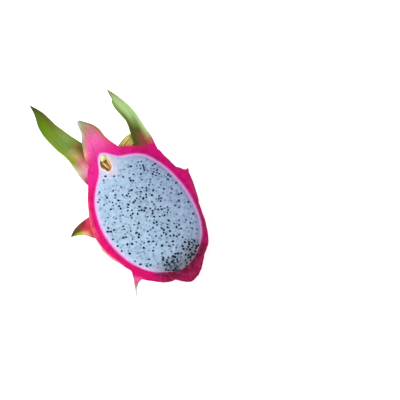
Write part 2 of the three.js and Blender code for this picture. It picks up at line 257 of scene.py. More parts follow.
# the fruit's form: the solids' own sizes, but for the edge of the flesh, up to 0.9 mm off at the lower left
fruit = {
    "cutHeight": 46.0,
    "widestHeight": 51.0,    # where the whole fruit was widest; the two depths go down from there
    "skinDepth": 52.6,
    "fleshDepth": 45.0,
    "hollowFloor": 7.0,
    "cutRoom": 8.0,          # bodies reach this far above the cut before it is made
    # radii every 15 degrees, anticlockwise from +X
    "skinRadii": [41.4, 43.2, 46.0, 50.6, 54.9, 58.6, 63.0, 60.0, 50.7, 45.8, 43.4, 42.9,
                  42.5, 42.6, 43.2, 46.3, 50.8, 55.0, 60.3, 59.6, 53.2, 46.6, 42.4, 41.0],
    "fleshRadii": [36.0, 36.7, 39.2, 43.2, 48.4, 50.6, 50.4, 48.0, 43.6, 40.2, 37.3, 35.8,
                   35.4, 35.9, 37.8, 41.0, 45.1, 48.5, 51.8, 50.3, 47.2, 43.0, 39.1, 36.8],
    "neckAngle": 93.5,       # the narrow neck of the flesh, towards the flower
    "neckReach": 11.6,
    "neckSpread": 5.6,
    "dipStart": -22.0,   # the knife dips towards the stalk from here
    "dipEnd": -64.0,
    "dipDrop": 5.0,
    "fleshDome": 1.3,
}


def hump(angles, middle, width):
    # 1 at one angle round the fruit, falling away on both sides of it
    off = np.mod(np.asarray(angles, float) - middle + 540, 360) - 180
    return np.exp(-0.5 * (off / width) ** 2)


def radiusAt(radii, angles):
    turns = np.atleast_1d(np.asarray(angles, float)) / 360
    return smoothLoop(radii, turns).reshape(np.shape(angles))


def skinRadius(angles):
    return radiusAt(fruit["skinRadii"], angles)


def fleshRadius(angles):
    neck = fruit["neckReach"] * hump(angles, fruit["neckAngle"], fruit["neckSpread"])
    return radiusAt(fruit["fleshRadii"], angles) + neck


def cutHeight(y):
    t = np.clip((fruit["dipStart"] - y) / (fruit["dipStart"] - fruit["dipEnd"]), 0, 1)
    return fruit["cutHeight"] - fruit["dipDrop"] * t * t


def shareAt(z, depth):
    # size of a level outline next to the one in the cut, for a bowl of this depth
    here, inCut = (1 - ((fruit["widestHeight"] - height) / depth) ** 2 for height in (z, fruit["cutHeight"]))
    return np.sqrt(np.maximum(0, here)) / np.sqrt(inCut)


def outOfFlesh(points):
    # how far sideways from the flesh each point is, less than nothing inside it
    angles, radii = polarOf(points)
    return radii - fleshRadius(angles) * shareAt(points[:, 2], fruit["fleshDepth"])


def polar(radii, angles, z):
    turn = np.radians(angles)
    return np.column_stack([radii * np.cos(turn), radii * np.sin(turn), np.broadcast_to(z, turn.shape)])


def bowlRings(radiusOf, depth, lowest, steps, angles):
    start = math.asin((fruit["widestHeight"] - lowest) / depth)
    end = math.asin((fruit["widestHeight"] - fruit["cutHeight"]) / depth)
    turns = np.linspace(start, end, steps + 1)
    return [polar(radiusOf(angles) * math.cos(t) / math.cos(end), angles,
                  fruit["widestHeight"] - depth * math.sin(t)) for t in turns]


def bowlSolid(name, radiusOf, depth, lowest, steps, around):
    angles = np.arange(around) * 360 / around
    rings = bowlRings(radiusOf, depth, lowest, steps, angles)
    rings.append(polar(radiusOf(angles), angles, fruit["cutHeight"] + fruit["cutRoom"]))
    return tube(name, rings)


def skinAt(angle, z):
    # where the skin is, which way it faces, and the way along it to the flower end
    def at(a, h):
        r = skinRadius(a) * shareAt(h, fruit["skinDepth"])
        return Vector((r * math.cos(math.radians(a)), r * math.sin(math.radians(a)), h))
    place = at(angle, z)
    around = (at(angle + 1, z) - at(angle - 1, z)).normalized()
    upward = (at(angle, z + 0.5) - at(angle, z - 0.5)).normalized()
    outward = around.cross(upward).normalized()
    toFlower = Vector((0, 1, 0))
    toFlower = (toFlower - outward * toFlower.dot(outward)).normalized()
    return place, outward, toFlower


# rind: skin and scales grown as one, cut by the knife

flatInCut = {"inner": (0, 0, 1), "gutter": 0}      # for a scale that lies in the cut

scales = {
    "margin": 0.8,       # thickness at a scale's edge
    "leastHalf": 0.4,    # half the width where it runs out
    "roundness": 8,      # how full it stays towards its edges
    "gutterMean": 0.4,   # the gutter's middle lies this share below the spine, and its edges rise above it
    "steps": 64,
    "across": 26,
    "roundTheCut": {
        "leftLeaf": {
            "spine": [(-14, 41, 32), (-17.8, 57, 34), (-18.7, 74, 35.2), (-23.5, 90, 37),
                      (-26.9, 106, 38.7), (-26.6, 120.5, 40.5), (-28.2, 131.5, 42)],
            "widths": [26, 24.9, 23.4, 21.4, 16.9, 9.4, 0.8],
            "thicknesses": [6, 5.9, 4.1, 3.2, 2.4, 1.5, 0.8], "inner": (0.55, 0, 0.85), "gutter": 0.4},
        "cutScale": {
            "spine": [(-1.7, 52, 46), (-2.7, 62, 46), (-2.1, 72.6, 46), (-0.7, 82.8, 46), (-3.5, 95.5, 46)],
            "widths": [30.6, 26.5, 20, 14.5, 2.8], "thicknesses": [14, 13, 9, 6, 1.6], **flatInCut},
        "rightLeaf": {
            "spine": [(28, 38, 39), (31.8, 50, 40), (34, 64, 40.5), (35.3, 78, 41),
                      (33.1, 93, 41.5), (31.5, 109, 42)],
            "widths": [21.6, 19.8, 14.8, 11.4, 10.1, 0.8], "thicknesses": [6, 5, 4, 3.2, 2.2, 0.8],
            "inner": (-0.6, 0.1, 0.8), "gutter": 0.55, "notch": (0.87, 0.55)},
        "rightRoot": {
            "spine": [(24, 38, 46), (28.6, 41.6, 46), (32.2, 43.8, 46), (35, 45.4, 46)],
            "widths": [11, 10.8, 8.2, 3.4], "thicknesses": [12, 10, 8, 5], **flatInCut},
        "sideScale": {
            "spine": [(-34, 13.6, 33), (-43.3, 18.2, 33.5), (-50.3, 20.1, 34.5), (-57, 20, 35)],
            "widths": [34.5, 20.4, 10.4, 0.8], "thicknesses": [7, 5, 3, 0.8],
            "inner": (0.1, 0.5, 0.85), "gutter": 0.35},
        "spur": {
            "spine": [(-27.5, -33.5, 45.6), (-32.5, -38.1, 45.2), (-35.9, -42.4, 44.9), (-39.4, -48, 44.4)],
            "widths": [19, 9.6, 4.2, 2.6, 1.3, 0.8], "thicknesses": [8, 6, 3, 1.6], **flatInCut},
        "rightScale": {
            "spine": [(36.6, -14, 46), (39.2, -4, 46), (41.2, 4, 46), (43.6, 8.8, 46), (46.8, 12.2, 46)],
            "widths": [5, 6.6, 7, 4.6, 0.8], "thicknesses": [12, 10, 8, 5, 1.6], **flatInCut},
        "rightHeel": {
            "spine": [(34, 14, 46), (38.5, 13, 46), (42.4, 11.6, 46), (45.8, 11.4, 46)],
            "widths": [15, 12, 6.2, 0.8], "thicknesses": [12, 10, 8, 3], **flatInCut},
    },
}

backScales = {
    # angle round the fruit, height, length, width and how far the tip lifts off the skin
    "each": [
        (216, 33, 27, 21, 1.6), (172, 17, 24, 24, 2.6), (134, 17, 26, 23, 3.4), (204, 11, 21, 22, 1.4),
        (246, 30, 20, 22, 0.8), (288, 31, 18, 21, 0.8), (320, 29, 24, 23, 1.2), (244, 10, 21, 21, 1.2),
        (270, 7, 19, 20, 0.9), (304, 11, 21, 22, 1.6), (345, 15, 24, 23, 3.2), (10, 30, 26, 23, 4.2),
        (44, 17, 28, 22, 5), (98, 26, 38, 22, 6), (84, 12, 24, 21, 3.6), (146, 7, 20, 20, 1.6),
        (40, 7, 20, 20, 1.6),
    ],
    "sink": 3.4,         # how deep they are rooted
    "clearance": 4.0,    # their spines stay this far above the table
    "places": (-0.35, 0.1, 0.45, 0.75, 1),      # along the spine, in lengths of the scale
    "hug": 0.75,         # how closely the root follows the skin, and how much less so the tip
    "hugLoss": 0.35,
    "curl": 1.6,         # how late the tip lifts off
    "widths": (0.8, 1, 0.82, 0.45),
    "thicknesses": [4, 4.2, 3.2, 2.2, 0.8],
    "gutter": 0.3,
}


def backScale(angle, z, length, width, lift):
    place, outward, toFlower = skinAt(angle, z)
    sink = backScales["sink"]
    spine = []
    for s in backScales["places"]:
        off = -sink if s <= 0 else lift * s ** backScales["curl"] - sink * (1 - s) ** 2
        p = place + toFlower * (s * length)
        beneath = skinAt(math.degrees(math.atan2(p.y, p.x)), p.z)[0]
        p = p.lerp(beneath, backScales["hug"] - backScales["hugLoss"] * max(s, 0)) + outward * off
        p.z = max(p.z, backScales["clearance"])
        spine.append(tuple(p))
    widths = [width * share for share in backScales["widths"]]
    return {"spine": spine, "inner": tuple(-outward), "gutter": backScales["gutter"],
            "widths": [*widths, scales["margin"]], "thicknesses": backScales["thicknesses"]}


def bladePoints(blade, steps, across, reach=1.0, shrink=0.0):
    # rings of points round the blade, and its middle surface with the place of each point on it
    s = np.linspace(0, reach, steps)
    u = np.sin(np.linspace(-math.pi / 2, math.pi / 2, across // 2 + 1))
    middle, run = curveAt(blade["spine"], s)
    inner = np.asarray(blade["inner"], float)
    face = inner - run * (run @ inner)[:, None]
    face /= np.linalg.norm(face, axis=1)[:, None]
    sideways = np.cross(run, face)
    half = np.maximum(smoothRow(blade["widths"], s) / 2 - shrink, scales["leastHalf"])
    half = half[:, None] * np.ones_like(u)
    if "notch" in blade:
        # from here to the tip the dry end has broken back on its left side
        start, share = blade["notch"]
        half[np.ix_(s > start, u < 0)] *= share
    margin = scales["margin"]
    thick = np.maximum(smoothRow(blade["thicknesses"], s) - 2 * shrink, margin)[:, None]
    spine = middle[:, None] + sideways[:, None] * (half * u)[..., None]
    # the gutter is low in the middle and raised at the edges
    lift = blade["gutter"] * half.max(1, keepdims=True) * (u * u - scales["gutterMean"])
    swell = (margin + (thick - margin) * (1 - u * u)) * np.sqrt(1 - u ** scales["roundness"]) / 2
    sheet = spine + face[:, None] * lift[..., None]
    top, under = sheet + face[:, None] * swell[..., None], sheet - face[:, None] * swell[..., None]
    rings = np.concatenate([top, under[:, -2:0:-1]], axis=1)
    places = np.broadcast_to(s[:, None], lift.shape), np.broadcast_to(u, lift.shape)
    return rings, (sheet, top, under), places


def makeBlade(blade, reach=1.0, shrink=0.0):
    return tube("scale", bladePoints(blade, scales["steps"], scales["across"], reach, shrink)[0])


stalk = {
    "angle": 272, "z": 24, "radius": 5.2, "sides": 40, "ribs": 5, "ribDepth": 0.05,
    # heights and shares of the radius, up to a worn, hollowed end
    "profile": [(-5, 1.25), (-1, 1.15), (1.2, 0.98), (2.4, 0.9), (3.2, 0.78), (3.0, 0.55), (2.4, 0.3)],
}


def makeStump():
    # the cut stump of the stalk
    place, outward, _ = skinAt(stalk["angle"], stalk["z"])
    aside = outward.orthogonal().normalized()
    return ribbedStub("stump", place, (outward, aside, outward.cross(aside)), stalk)


knife = {"grid": 0.9, "waviness": 0.12, "wavinessScale": 9.0, "x": (-70, 60), "y": (-75, 150), "height": 40}


def makeKnife():
    # everything above the cut, with a finely divided underside so that the cut face takes colours well
    xs = np.arange(*knife["x"], knife["grid"])
    ys = np.arange(*knife["y"], knife["grid"])
    columns = len(xs)
    gridX, gridY = np.meshgrid(xs, ys)
    points = np.column_stack([gridX.ravel(), gridY.ravel(), cutHeight(gridY.ravel())])
    points[:, 2] += knife["waviness"] * noiseAt(points, knife["wavinessScale"])
    faces = [(r * columns + c, (r + 1) * columns + c, (r + 1) * columns + c + 1, r * columns + c + 1)
             for r in range(len(ys) - 1) for c in range(columns - 1)]
    obj = meshObject("knife", points, faces)
    slab = bmesh.new()
    slab.from_mesh(obj.data)
    raised = bmesh.ops.extrude_face_region(slab, geom=slab.faces[:])["geom"]
    for v in raised:
        if isinstance(v, bmesh.types.BMVert):
            v.co.z = (fruit["cutHeight"] + knife["height"]) * metres
    bmesh.ops.recalc_face_normals(slab, faces=slab.faces[:])
    slab.to_mesh(obj.data)
    slab.free()
    return obj


rindMesh = {
    "rings": 60, "hollowRings": 20, "around": 240,
    "voxel": 0.65, "smoothing": 0.5, "smoothings": 12,
    # the part of a scale that melts into the skin, inside the scale itself
    "rootReach": 0.45, "rootShrink": 0.35,
    "swelling": 0.3, "swellingScale": 9.0, "pucker": 0.1, "puckerScale": 2.6,
    "restEnds": (0.5, 5),      # heights above the table over which this relief sets in
    # low knuckles of the rim, and hollows with a negative height: angle, width in degrees and height
    "knuckles": [(27, 5, -0.9), (46, 3, 2.1), (234, 4.5, 1.7), (248, 7, 1.4), (261, 2.4, -1.3),
                 (270.5, 5.5, 2.9), (289.5, 4.5, -2.5)],
    "knucklesFrom": (16, 40),      # heights above the table over which they set in
    # rougher skin near the stalk corner, and the distances from it over which it sets in
    "rough": 0.7, "roughScale": 3.4, "roughReach": (30.0, 12),
}
stalkCorner = (3.6, -54.5)     # where the cut turns down at the stalk end and painted shade deepens its colours

# parts of the fruit with colours of their own, or with painted light and shade: each range runs from none of
# it to all of it
regions = {
    # painted shade towards the right of the fruit, which gets less light
    "toRight": (-14, 36),
    "leftSide": {"x": (-26, -36), "y": (-4, 12)},
    # painted light on the rim at the lower left
    "lowerLeft": {"x": (-30, -38), "y": (-28, -18), "fading": (-2, 8), "faded": 0.75},
    "flowerEnd": {"x": (24, 4), "y": (34, 50)},
    # these two are painted shade, by the distance from the stalk corner and from the rim, the first also on
    # the lower right side
    "stalkEndShade": {"reach": (36, 16), "inward": (2, 6), "eased": 0.25, "side": (24, 38), "sideShare": 0.5,
                 "sideWay": (0.5, 0.86)},
    "stalkPulpShade": {"reach": (34, 12), "inward": (18, 2), "share": 0.85},
}


def fromStalkCorner(points):
    return np.hypot(points[:, 0] - stalkCorner[0], points[:, 1] - stalkCorner[1])


def markRegions(obj, points, fromRim):
    # which part of the fruit each point is in, from 0 to 1, including where painted light and shade go
    x, y, corner = points[:, 0], points[:, 1], fromStalkCorner(points)
    shares = {"toRight": smoothStep(*regions["toRight"], x)}
    for name in ("leftSide", "lowerLeft", "flowerEnd"):
        shares[name] = smoothStep(*regions[name]["x"], x) * smoothStep(*regions[name]["y"], y)
    lower, end, pulp = regions["lowerLeft"], regions["stalkEndShade"], regions["stalkPulpShade"]
    shares["lowerLeft"] *= 1 - lower["faded"] * smoothStep(*lower["fading"], y)
    nearCorner = smoothStep(*end["reach"], corner) * (1 - end["eased"] * smoothStep(*end["inward"], fromRim))
    beside = smoothStep(*end["side"], end["sideWay"][0] * x - end["sideWay"][1] * y)
    shares["stalkEndShade"] = np.maximum(nearCorner, end["sideShare"] * beside)
    shares["stalkPulpShade"] = (
        pulp["share"] * smoothStep(*pulp["reach"], corner) * smoothStep(*pulp["inward"], fromRim))
    storeValues(obj, **shares)


def knuckleRise(angles):
    return sum(height * hump(angles, angle, width) for angle, width, height in rindMesh["knuckles"])


def makeRind(skin, cutFace):
    around = rindMesh["around"]
    blades = [*scales["roundTheCut"].values()] + [backScale(*s) for s in backScales["each"]]
    # body and roots are melted together, and the scales are joined on with clean edges
    rind = bowlSolid("peel", skinRadius, fruit["skinDepth"], 0.0, rindMesh["rings"], around)
    roots = [makeBlade(b, rindMesh["rootReach"], rindMesh["rootShrink"]) for b in blades]
    joinInto(rind, [makeStump(), *roots])
    remesh = rind.modifiers.new("remesh", "REMESH")
    remesh.mode = "VOXEL"
    remesh.voxel_size = rindMesh["voxel"] * metres
    smooth = rind.modifiers.new("smooth", "SMOOTH")
    smooth.factor = rindMesh["smoothing"]
    smooth.iterations = rindMesh["smoothings"]
    applyModifiers(rind)
    print("rind melted:", len(rind.data.polygons), "faces")
    sharp = makeBlade(blades[0])
    for blade in blades[1:]:
        combine(sharp, makeBlade(blade), "UNION")
    combine(rind, sharp, "UNION")
    # slow swellings and fine puckers of the skin, none where it rests
    points = pointsOf(rind)
    normals = np.empty(points.size)
    rind.data.vertices.foreach_get("normal", normals)
    relief = rindMesh["swelling"] * noiseAt(points, rindMesh["swellingScale"])
    relief += rindMesh["pucker"] * noiseAt(points, rindMesh["puckerScale"])
    relief *= smoothStep(*rindMesh["restEnds"], points[:, 2])
    points += normals.reshape(-1, 3) * relief[:, None]
    angles, radii = polarOf(points)
    outward = knuckleRise(angles)
    roughness = rindMesh["rough"] * smoothStep(*rindMesh["roughReach"], fromStalkCorner(points))
    outward += roughness * noiseAt(points, rindMesh["roughScale"])
    outward *= smoothStep(*rindMesh["knucklesFrom"], points[:, 2]) / np.maximum(radii, 1)
    points[:, :2] *= 1 + outward[:, None]
    rind.data.vertices.foreach_set("co", (points * metres).ravel())
    rind.data.update()
    rind.data.materials.clear()
    rind.data.materials.append(skin)
    blade = makeKnife()
    blade.data.materials.append(cutFace)
    combine(rind, blade, "DIFFERENCE")
    hollow = bowlSolid("hollow", fleshRadius, fruit["fleshDepth"], fruit["hollowFloor"],
                       rindMesh["hollowRings"], around)
    hollow.data.materials.append(cutFace)
    combine(rind, hollow, "DIFFERENCE")
    rind.data.shade_smooth()
    markRind(rind, blades)
    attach(rind, "root")
    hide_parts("rind")
    return rind


marks = {
    "sampling": (70, 30),       # places along and across a scale that points are matched to
    "cutLayer": 0.35,           # how far under the cut still counts as its face
    "pastRing": 1.0,            # how far past the skin the ring of cut peel still counts
    "cutLeafReach": 1.2,        # how near a leaf's cut edge is part of it
    "scaleEdge": (0.6, 2.6),    # over which a scale's colours run out into the skin's
    # angle and width in degrees of the neck, where the colours run into each other
    "neckHump": (90, 7), "neckMixing": 1.2,
    # the painted shade on the right rim: x over which it sets in, and gaps where scales stand
    "rightRim": (16, 34),
    "rimGaps": [(12, 11), (52, 8)],      # angle and width in degrees
}


def nearestOn(blades, points, flatOnly=False):
    # for every point: distance to the nearest scale, its place along and across it, and which scale it is
    samples = []
    for i, blade in enumerate(blades):
        flat = blade["inner"] == flatInCut["inner"]
        if (flat or not flatOnly) and blade is not scales["roundTheCut"]["rightRoot"]:
            _, sheets, (s, u) = bladePoints(blade, *marks["sampling"])
            for sheet in sheets if flat else sheets[1:]:
                which = np.full(s.size, i)
                samples.append(np.column_stack([sheet.reshape(-1, 3), s.ravel(), u.ravel(), which]))
    samples = np.vstack(samples)
    nearest, off = nearestOf(samples[:, :3], points)
    return np.column_stack([off, samples[nearest, 3:]])


def markRind(rind, blades):
    # how far along and across a scale each point lies, which scale it is, and how far it is from the flesh
    points = pointsOf(rind)
    found = nearestOn(blades, points)
    onCut = np.flatnonzero(points[:, 2] > cutHeight(points[:, 1]) - marks["cutLayer"])
    flat = nearestOn(blades, points[onCut], flatOnly=True)
    angles, radii = polarOf(points)
    # on the cut only the scales that lie in it count, but past the ring also the leaf whose edge is cut
    chosen = (radii < skinRadius(angles) + marks["pastRing"])[onCut] | (flat[:, 0] < marks["cutLeafReach"])
    found[onCut[chosen]] = flat[chosen]
    near = 1 - smoothStep(*marks["scaleEdge"], found[:, 0])
    onEach = {name: near * (found[:, 3] == i) for i, name in enumerate(scales["roundTheCut"])}
    gap = outOfFlesh(points)
    # painted shade along the right rim, left out where scales stand
    rim = smoothStep(*marks["rightRim"], points[:, 0])
    for angle, width in marks["rimGaps"]:
        rim *= 1 - hump(angles, angle, width)
    stump = np.array(skinAt(stalk["angle"], stalk["z"])[0])
    storeValues(rind, onScale=near, along=found[:, 1], across=found[:, 2], **onEach,
                fromFlesh=gap / (1 + marks["neckMixing"] * hump(angles, *marks["neckHump"])),
                fromEdge=skinRadius(angles) + knuckleRise(angles) - radii, rightRim=rim,
                fromStalk=np.linalg.norm(points - stump, axis=1))
    markRegions(rind, points, gap)


# materials

def perMetre(size):
    # pattern scale for a feature of this many millimetres
    return 1 / (size * metres)


def overlay(add, colour, layers, blend="MIX"):
    # each layer is the share of it that shows, and its colour
    for share, layer in layers:
        colour = add("Mix", (share, colour, layer), data_type="RGBA", blend_type=blend)
    return colour


def strayed(add, value, clouds, reach):
    # a value that wanders up and down with the clouds of a noise
    swing = add("Math", (clouds, 0.5), operation="SUBTRACT")
    return add("Math", (swing, reach, value), operation="MULTIPLY_ADD")


def finishMaterial(material, colour, surface, height=None, relief=(), invert=False):
    # relief is how strong the bumps are and how high in millimetres
    add = partial(addNode, material.node_tree)
    inputs = {"Base Color": colour, **surface}
    if height:
        strength, high = relief
        bump = {"Strength": strength, "Distance": high * metres, "Height": height}
        inputs["Normal"] = add("Bump", bump, invert=invert)
    add("OutputMaterial", [add("BsdfPrincipled", inputs)])
    return material


# what the scales are coloured with
scaleColours = {
    "peel": "#b4134c", "magenta": "#c00a60", "rose": "#c83868", "crimson": "#b8383e", "orchid": "#ca3c8a",
    "candy": "#d65896", "blush": "#ffc4d8", "salmon": "#de8e88", "dustyRose": "#b85a68", "dusk": "#aa7270",
    "cream": "#e0e2c4", "sand": "#c4b070", "khaki": "#8c8e64", "tan": "#98684a", "brown": "#683e26",
    "maroon": "#842c34", "lime": "#8cac10", "leafGreen": "#6a8e04", "softGreen": "#769446",
    "paleGreen": "#96b476", "olive": "#66722c", "darkOlive": "#404604", "dryTip": "#34320c",
    "dryGrey": "#6c685a", "ash": "#b4b8ae",
}


def inScaleColours(stops):
    return [(place, scaleColours[name]) for place, name in stops]


def lanes(add, along, across, rows):
    # a ramp from root to tip for each place across a scale, blended from one to the next
    colour, last = None, None
    for place, stops in rows:
        row = add("ValToRGB", [along], inScaleColours(stops))
        if colour:
            share = add("MapRange", (across, last, place), interpolation_type="SMOOTHSTEP")
            row = overlay(add, colour, [(share, row)])
        colour, last = row, place
    return colour


def lengthwise(add, along, across, lines):
    # fine lines that follow a scale or petal, and their tone
    drawn = add("Math", (along, lines["stretch"]), operation="MULTIPLY")
    streaks = add("TexNoise", (add("CombineXYZ", (across, drawn)), lines["scale"], 4.0))
    return streaks, add("ValToRGB", [streaks], lines["tones"])


sideRow = [(0.0, "peel"), (0.4, "rose"), (0.62, "tan"), (0.8, "olive"), (1.0, "darkOlive")]
skinLook = {
    "pink": [(0.25, "#940a3c"), (0.5, "#b4134c"), (0.75, "#c63464")],
    "mottle": 7.0,       # mm across a patch of stronger colour
    "wander": 0.1,       # how far, in lengths of a scale, its colours stray from their line
    "pore": 0.9,         # mm; real pores are finer, drawn this coarse so that they show
    # fine lines about 1 mm apart on a scale, and how much they are drawn out along it
    "streaks": {"scale": 10, "stretch": 0.14,
                "tones": [(0.3, "#dcdad4"), (0.5, "#f6f4f2"), (0.68, "#ffffff")]},
    # the dry brown scar where the stalk was: grain and reach from its middle in mm
    "bark": 1.2, "barkTones": [(0.3, "#5d4a26"), (0.7, "#a4945c")], "scar": (8.5, 5.0),
    # root to tip, at places across a scale from its left edge, -1, to its right edge, 1
    "scale": [
        (-0.85, sideRow),
        (0.0, [(0.0, "peel"), (0.5, "rose"), (0.75, "tan"), (0.88, "olive"), (1.0, "darkOlive")]),
        (0.85, sideRow)],
    # on the three leaves the lanes hold painted light and shade over their own colours: one side lit paler
    # and yellower, the other darker olive or brown in shade, and a painted sheen on the right leaf's pale
    # green
    "leftLeaf": [
        (-0.8, [(0.04, "peel"), (0.11, "rose"), (0.2, "cream"), (0.31, "lime"), (0.6, "leafGreen"),
                (1.0, "darkOlive")]),
        (-0.1, [(0.04, "peel"), (0.19, "blush"), (0.28, "salmon"), (0.35, "sand"), (0.44, "softGreen"),
                (0.7, "leafGreen"), (1.0, "dryTip")]),
        (0.55, [(0.04, "peel"), (0.25, "dustyRose"), (0.33, "brown"), (0.4, "olive"), (0.52, "softGreen"),
                (0.68, "olive"), (1.0, "dryTip")])],
    "rightLeaf": [
        (-0.75, [(0.0, "magenta"), (0.18, "maroon"), (0.28, "darkOlive"), (0.46, "darkOlive"),
                 (0.68, "olive"), (0.88, "softGreen"), (1.0, "dryGrey")]),
        (-0.1, [(0.0, "magenta"), (0.24, "maroon"), (0.32, "brown"), (0.44, "darkOlive"), (0.66, "paleGreen"),
               (0.88, "paleGreen"), (1.0, "dryGrey")]),
        (0.8, [(0.0, "magenta"), (0.22, "tan"), (0.34, "paleGreen"), (0.74, "paleGreen"), (0.87, "khaki"),
               (1.0, "dryGrey")])],
    "sideScale": [
        (-0.7, [(0.0, "rose"), (0.22, "crimson"), (0.34, "salmon"), (0.5, "sand"), (0.62, "lime"),
                (1.0, "darkOlive")]),
        (0.0, [(0.0, "rose"), (0.27, "crimson"), (0.42, "crimson"), (0.64, "brown"), (1.0, "dryTip")]),
        (0.5, [(0.0, "rose"), (0.3, "rose"), (0.4, "maroon"), (0.6, "brown"), (1.0, "dryTip")])],
    "relief": (0.4, 0.3),
    "surface": {"Roughness": 0.4, "IOR": 1.4, "Specular IOR Level": 0.08, "Subsurface Weight": 0.1,
                "Subsurface Radius": (1.0, 0.45, 0.3), "Subsurface Scale": 0.0012},
}


def makeSkinMaterial():
    # the wax-coated peel of a cactus fruit: satin, with soft highlights and colour that clouds slowly
    look = skinLook
    material, add, place, along, across, onScale, fromStalk = newMaterial(
        "waxyPitayaPeel", "along", "across", "onScale", "fromStalk")
    clouds = add("TexNoise", (place, perMetre(look["mottle"]), 4.0))
    colour = add("ValToRGB", [clouds], look["pink"])
    wander = strayed(add, along, clouds, look["wander"])
    colour = overlay(add, colour, [(onScale, lanes(add, wander, across, look["scale"]))])
    # the leaves' lanes, with their painted light and shade
    for leaf in ("leftLeaf", "rightLeaf", "sideScale"):
        onLeaf = add("Attribute", attribute_name=leaf).outputs["Fac"]
        colour = overlay(add, colour, [(onLeaf, lanes(add, wander, across, look[leaf]))])
    streaks, tone = lengthwise(add, along, across, look["streaks"])
    colour = overlay(add, colour, [(onScale, tone)], "MULTIPLY")
    grain = add("TexNoise", (place, perMetre(look["bark"]), 5.0))
    scar = add("MapRange", (fromStalk, *look["scar"]), interpolation_type="SMOOTHSTEP")
    colour = overlay(add, colour, [(scar, add("ValToRGB", [grain], look["barkTones"]))])
    pores = add("TexNoise", (place, perMetre(look["pore"]), 3.0))
    height = add("Math", (pores, streaks), operation="ADD")
    return finishMaterial(material, colour, look["surface"], height, look["relief"])


cutLook = {
    "depth": 10.0,       # mm outward from the flesh that the rings of colour are spread over
    "cloud": 4.0,        # mm across the uneven patches
    "uneven": 1.0,       # mm by which the rings of colour stray
    # outward from the flesh, in shares of that depth
    "ring": [(0.0, "#e48cc6"), (0.05, "#d4569e"), (0.1, "#c01c70"), (0.24, "#c8006a"), (0.4, "#d00a6e"),
             (1.0, "#cc106a")],
    "outerPart": (0.34, 0.52),
    "outerMargin": "#cc4a62",    # the salmon skin that shows past the cut on the left
    "innerPart": (0.08, 0.2),
    "flowerEnd": "#ce1e80",
    "rightShade": "#dcecf0",      # painted shade, multiplied in towards the right of the fruit, which gets less light
    "patches": [(0.4, "#e8d0d4"), (0.54, "#ffffff")],
    "rimPart": (1.1, 0.2),       # mm in from the skin, where it is seen edge-on
    "rightRim": "#8c2a50",       # in shade on the right and catching light on the left
    "leftRim": "#d8907c",
    # painted shade: darker at the stalk end, where the cut turns down away from the light, and along the
    # lower right side, in patches of 2.2 mm
    "stalkShadeMottle": 2.2, "stalkEndShade": [(0.38, "#520e26"), (0.5, "#661430"), (0.62, "#842248")],
    # the long scale that the knife went through: ragged at its margins, with fibres 1 to 2 mm apart
    "fray": 0.22, "pastRing": (0.1, 0.36), "pastFoot": (0.16, 0.24),
    "streaks": {"scale": 9.0, "stretch": 0.2, "tones": [(0.36, "#e8dce6"), (0.5, "#ffffff")]},
    "cutScale": [
        (-0.94, [(0.0, "magenta"), (0.24, "dustyRose"), (0.36, "salmon"), (0.5, "khaki"), (1.0, "ash")]),
        (-0.55, [(0.0, "magenta"), (0.3, "orchid"), (0.5, "candy"), (0.76, "dusk"), (0.86, "khaki"),
                 (1.0, "ash")]),
        (0.4, [(0.0, "magenta"), (0.3, "orchid"), (0.6, "candy"), (0.8, "dusk"), (0.9, "khaki")]),
        (0.92, [(0.0, "magenta"), (0.34, "rose"), (0.52, "dustyRose"), (0.66, "tan"), (1.0, "dryGrey")])],
    "spur": [(0.24, "magenta"), (0.4, "candy"), (0.52, "dustyRose"), (0.66, "dusk"), (0.8, "ash")],
    "fibre": 0.9,                # mm between the fibres that the knife shows
    "fibreTones": [(0.3, "#ece4e8"), (0.6, "#ffffff")],
    "relief": (0.3, 0.2),
    "surface": {"Roughness": 0.4, "IOR": 1.36, "Specular IOR Level": 0.1, "Subsurface Weight": 0.1,
                "Subsurface Radius": (1.0, 0.2, 0.35), "Subsurface Scale": 0.001},
}


